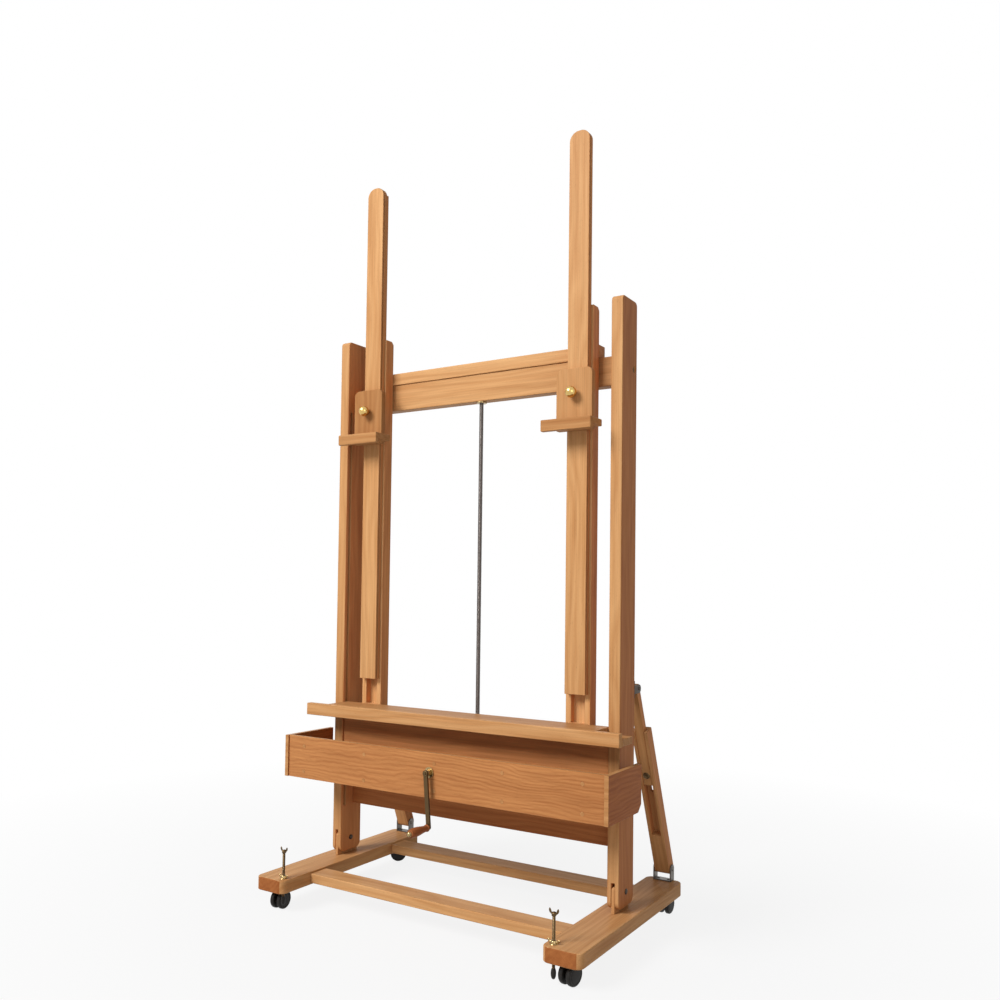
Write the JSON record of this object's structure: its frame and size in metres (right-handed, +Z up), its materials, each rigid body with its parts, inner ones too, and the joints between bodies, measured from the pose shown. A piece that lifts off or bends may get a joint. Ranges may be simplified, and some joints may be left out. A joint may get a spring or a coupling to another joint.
{
  "type": "studio easel",
  "caption": "Wooden double-mast studio easel on casters: crank-driven shelf with a divided tray, sliding planks with canvas holders, and tilting posts on braces.",
  "frame": {"origin": "on the floor, in the middle of the easel's footprint", "axes": "+Z up, -Y towards the painter, +X to the painter's right"},
  "size_m": [1.032, 0.6265, 2.087],
  "materials": {
    "beech": "oiled",
    "plywood": "oiled",
    "walnut": "oiled",
    "brass": "polished",
    "steel": "zinc plated",
    "black_plastic": "matte",
    "black_rubber": "matte"
  },
  "bodies": {
    "base": {"runner_left": "beech", "runner_right": "beech", "cross_rails": "beech", "post_tongues": "beech", "foot_brackets": "steel", "leveller_bushes": "brass"},
    "frame": {"post_left": "beech", "post_right": "beech", "crossbar": "beech", "lower_board": "beech", "screw_nut": "brass", "frame_bolts": "steel", "head_brackets": "steel"},
    "carriage": {"shelf_lip": "beech", "shelf_board": "beech", "canvas_shelf": "beech", "back_board": "beech", "tray_front": "plywood", "tray_ends": "plywood", "tray_floor_panel": "plywood", "tray_dividers": "plywood", "tray_dowels": "walnut", "gear_housing": "beech", "shaft_bushes": "brass", "mast_left": "beech", "mast_right": "beech", "top_rail": "beech"},
    "crank": {"crank_shaft": "brass", "crank_arm": "brass"},
    "grip": {"crank_grip": "beech"},
    "screw": {"lead_screw": "steel", "screw_bevel": "brass"},
    "plank_left": {"plank_left": "beech"},
    "holder_left": {"holder_left": "beech", "ledge_left": "beech"},
    "ball_knob_left": {"ball_knob_left": "brass"},
    "mast_knob_left": {"mast_knob_left": "black_plastic"},
    "brace_left": {"brace_left": "beech"},
    "slider_left": {"slider_left": "beech"},
    "brace_knob_left": {"brace_knob_left": "steel"},
    "fork_front_left": {"fork_front_left": "black_plastic"},
    "wheels_front_left": {"wheels_front_left": "black_rubber"},
    "fork_rear_left": {"fork_rear_left": "black_plastic"},
    "wheels_rear_left": {"wheels_rear_left": "black_rubber"},
    "leveller_foot_left": {"leveller_foot_left": "black_rubber"},
    "leveller_screw_left": {"leveller_screw_left": "brass"},
    "plank_right": {"plank_right": "beech"},
    "holder_right": {"holder_right": "beech", "ledge_right": "beech"},
    "ball_knob_right": {"ball_knob_right": "brass"},
    "mast_knob_right": {"mast_knob_right": "black_plastic"},
    "brace_right": {"brace_right": "beech"},
    "slider_right": {"slider_right": "beech"},
    "brace_knob_right": {"brace_knob_right": "steel"},
    "fork_front_right": {"fork_front_right": "black_plastic"},
    "wheels_front_right": {"wheels_front_right": "black_rubber"},
    "fork_rear_right": {"fork_rear_right": "black_plastic"},
    "wheels_rear_right": {"wheels_rear_right": "black_rubber"},
    "leveller_foot_right": {"leveller_foot_right": "black_rubber"},
    "leveller_screw_right": {"leveller_screw_right": "brass"}
  },
  "joints": [
    {"name": "frame_tilt", "type": "hinge", "parent": "base", "child": "frame", "pos_m": [0, -0.00225, 0.139], "axis": [-1, 0, 0], "range_deg": [-10, 10]},
    {"name": "carriage_lift", "type": "slide", "parent": "frame", "child": "carriage", "axis": [0, 0, 1], "range_m": [0, 0.87]},
    {"name": "crank_turn", "type": "hinge", "parent": "carriage", "child": "crank", "pos_m": [0, -0.19725, 0.413], "axis": [0, -1, 0], "range_deg": [0, 31321]},
    {"name": "grip_turn", "type": "hinge", "parent": "crank", "child": "grip", "pos_m": [0.01194, -0.21625, 0.27652], "axis": [0, -1, 0], "continuous": true},
    {"name": "screw_turn", "type": "hinge", "parent": "carriage", "child": "screw", "pos_m": [0, 0.02275, 0.413], "axis": [0, 0, 1], "range_deg": [0, 31321]},
    {"name": "plank_left_slide", "type": "slide", "parent": "carriage", "child": "plank_left", "axis": [0, 0, 1], "range_m": [-0.07, 0.6]},
    {"name": "holder_left_slide", "type": "slide", "parent": "plank_left", "child": "holder_left", "axis": [0, 0, 1], "range_m": [-0.65, 0.595]},
    {"name": "ball_knob_left_turn", "type": "hinge", "parent": "holder_left", "child": "ball_knob_left", "pos_m": [-0.344, -0.07625, 1.40872], "axis": [0, 1, 0], "range_deg": [-180, 180]},
    {"name": "mast_knob_left_turn", "type": "hinge", "parent": "carriage", "child": "mast_knob_left", "pos_m": [-0.344, 0.00875, 1.58065], "axis": [0, 1, 0], "range_deg": [-180, 180]},
    {"name": "brace_left_swing", "type": "hinge", "parent": "base", "child": "brace_left", "pos_m": [-0.4545, 0.28075, 0.125], "axis": [-1, 0, 0], "range_deg": [-7.85, 7.85]},
    {"name": "brace_left_slide", "type": "slide", "parent": "brace_left", "child": "slider_left", "axis": [0, -0.3743, 0.9273], "range_m": [-0.04477, 0.04477]},
    {"name": "brace_knob_left_turn", "type": "hinge", "parent": "slider_left", "child": "brace_knob_left", "pos_m": [-0.4545, 0.16882, 0.40227], "axis": [0, 0.9273, 0.3743], "range_deg": [-180, 180]},
    {"name": "swivel_front_left", "type": "hinge", "parent": "base", "child": "fork_front_left", "pos_m": [-0.4575, -0.25225, 0.056], "axis": [0, 0, 1], "continuous": true},
    {"name": "roll_front_left", "type": "hinge", "parent": "fork_front_left", "child": "wheels_front_left", "pos_m": [-0.45579, -0.26615, 0.025], "axis": [-0.9925, -0.1219, 0], "continuous": true},
    {"name": "swivel_rear_left", "type": "hinge", "parent": "base", "child": "fork_rear_left", "pos_m": [-0.4575, 0.27425, 0.056], "axis": [0, 0, 1], "continuous": true},
    {"name": "roll_rear_left", "type": "hinge", "parent": "fork_rear_left", "child": "wheels_rear_left", "pos_m": [-0.46853, 0.26563, 0.025], "axis": [-0.6157, 0.788, 0], "continuous": true},
    {"name": "leveller_left_lift", "type": "slide", "parent": "base", "child": "leveller_foot_left", "axis": [0, 0, 1], "range_m": [-0.031, 0.009]},
    {"name": "leveller_left_turn", "type": "hinge", "parent": "leveller_foot_left", "child": "leveller_screw_left", "pos_m": [-0.424, -0.28775, 0.099], "axis": [0, 0, -1], "range_deg": [-8930, 2594]},
    {"name": "plank_right_slide", "type": "slide", "parent": "carriage", "child": "plank_right", "axis": [0, 0, 1], "range_m": [-0.07, 0.6]},
    {"name": "holder_right_slide", "type": "slide", "parent": "plank_right", "child": "holder_right", "axis": [0, 0, 1], "range_m": [-0.65, 0.61]},
    {"name": "ball_knob_right_turn", "type": "hinge", "parent": "holder_right", "child": "ball_knob_right", "pos_m": [0.344, -0.07625, 1.39372], "axis": [0, 1, 0], "range_deg": [-180, 180]},
    {"name": "mast_knob_right_turn", "type": "hinge", "parent": "carriage", "child": "mast_knob_right", "pos_m": [0.344, 0.00875, 1.58065], "axis": [0, 1, 0], "range_deg": [-180, 180]},
    {"name": "brace_right_swing", "type": "hinge", "parent": "base", "child": "brace_right", "pos_m": [0.4545, 0.28075, 0.125], "axis": [-1, 0, 0], "range_deg": [-7.85, 7.85]},
    {"name": "brace_right_slide", "type": "slide", "parent": "brace_right", "child": "slider_right", "axis": [0, -0.3743, 0.9273], "range_m": [-0.04477, 0.04477]},
    {"name": "brace_knob_right_turn", "type": "hinge", "parent": "slider_right", "child": "brace_knob_right", "pos_m": [0.4545, 0.16882, 0.40227], "axis": [0, 0.9273, 0.3743], "range_deg": [-180, 180]},
    {"name": "swivel_front_right", "type": "hinge", "parent": "base", "child": "fork_front_right", "pos_m": [0.4575, -0.25225, 0.056], "axis": [0, 0, 1], "continuous": true},
    {"name": "roll_front_right", "type": "hinge", "parent": "fork_front_right", "child": "wheels_front_right", "pos_m": [0.45507, -0.26604, 0.025], "axis": [-0.9848, 0.1736, 0], "continuous": true},
    {"name": "swivel_rear_right", "type": "hinge", "parent": "base", "child": "fork_rear_right", "pos_m": [0.4575, 0.27425, 0.056], "axis": [0, 0, 1], "continuous": true},
    {"name": "roll_rear_right", "type": "hinge", "parent": "fork_rear_right", "child": "wheels_rear_right", "pos_m": [0.4575, 0.28825, 0.025], "axis": [1, 0, 0], "continuous": true},
    {"name": "leveller_right_lift", "type": "slide", "parent": "base", "child": "leveller_foot_right", "axis": [0, 0, 1], "range_m": [-0.025, 0.015]},
    {"name": "leveller_right_turn", "type": "hinge", "parent": "leveller_foot_right", "child": "leveller_screw_right", "pos_m": [0.424, -0.28775, 0.099], "axis": [0, 0, -1], "range_deg": [-7202, 4322]}
  ],
  "couplings": [
    {"joint": "crank_turn", "follows": "carriage_lift", "rad_per_m": 628.32},
    {"joint": "screw_turn", "follows": "carriage_lift", "rad_per_m": 628.32},
    {"joint": "brace_left_swing", "follows": "frame_tilt", "ratio": 0.785},
    {"joint": "brace_left_slide", "follows": "frame_tilt", "m_per_rad": -0.2565},
    {"joint": "leveller_left_turn", "follows": "leveller_left_lift", "rad_per_m": 5026.6},
    {"joint": "brace_right_swing", "follows": "frame_tilt", "ratio": 0.785},
    {"joint": "brace_right_slide", "follows": "frame_tilt", "m_per_rad": -0.2565},
    {"joint": "leveller_right_turn", "follows": "leveller_right_lift", "rad_per_m": 5026.6}
  ]
}
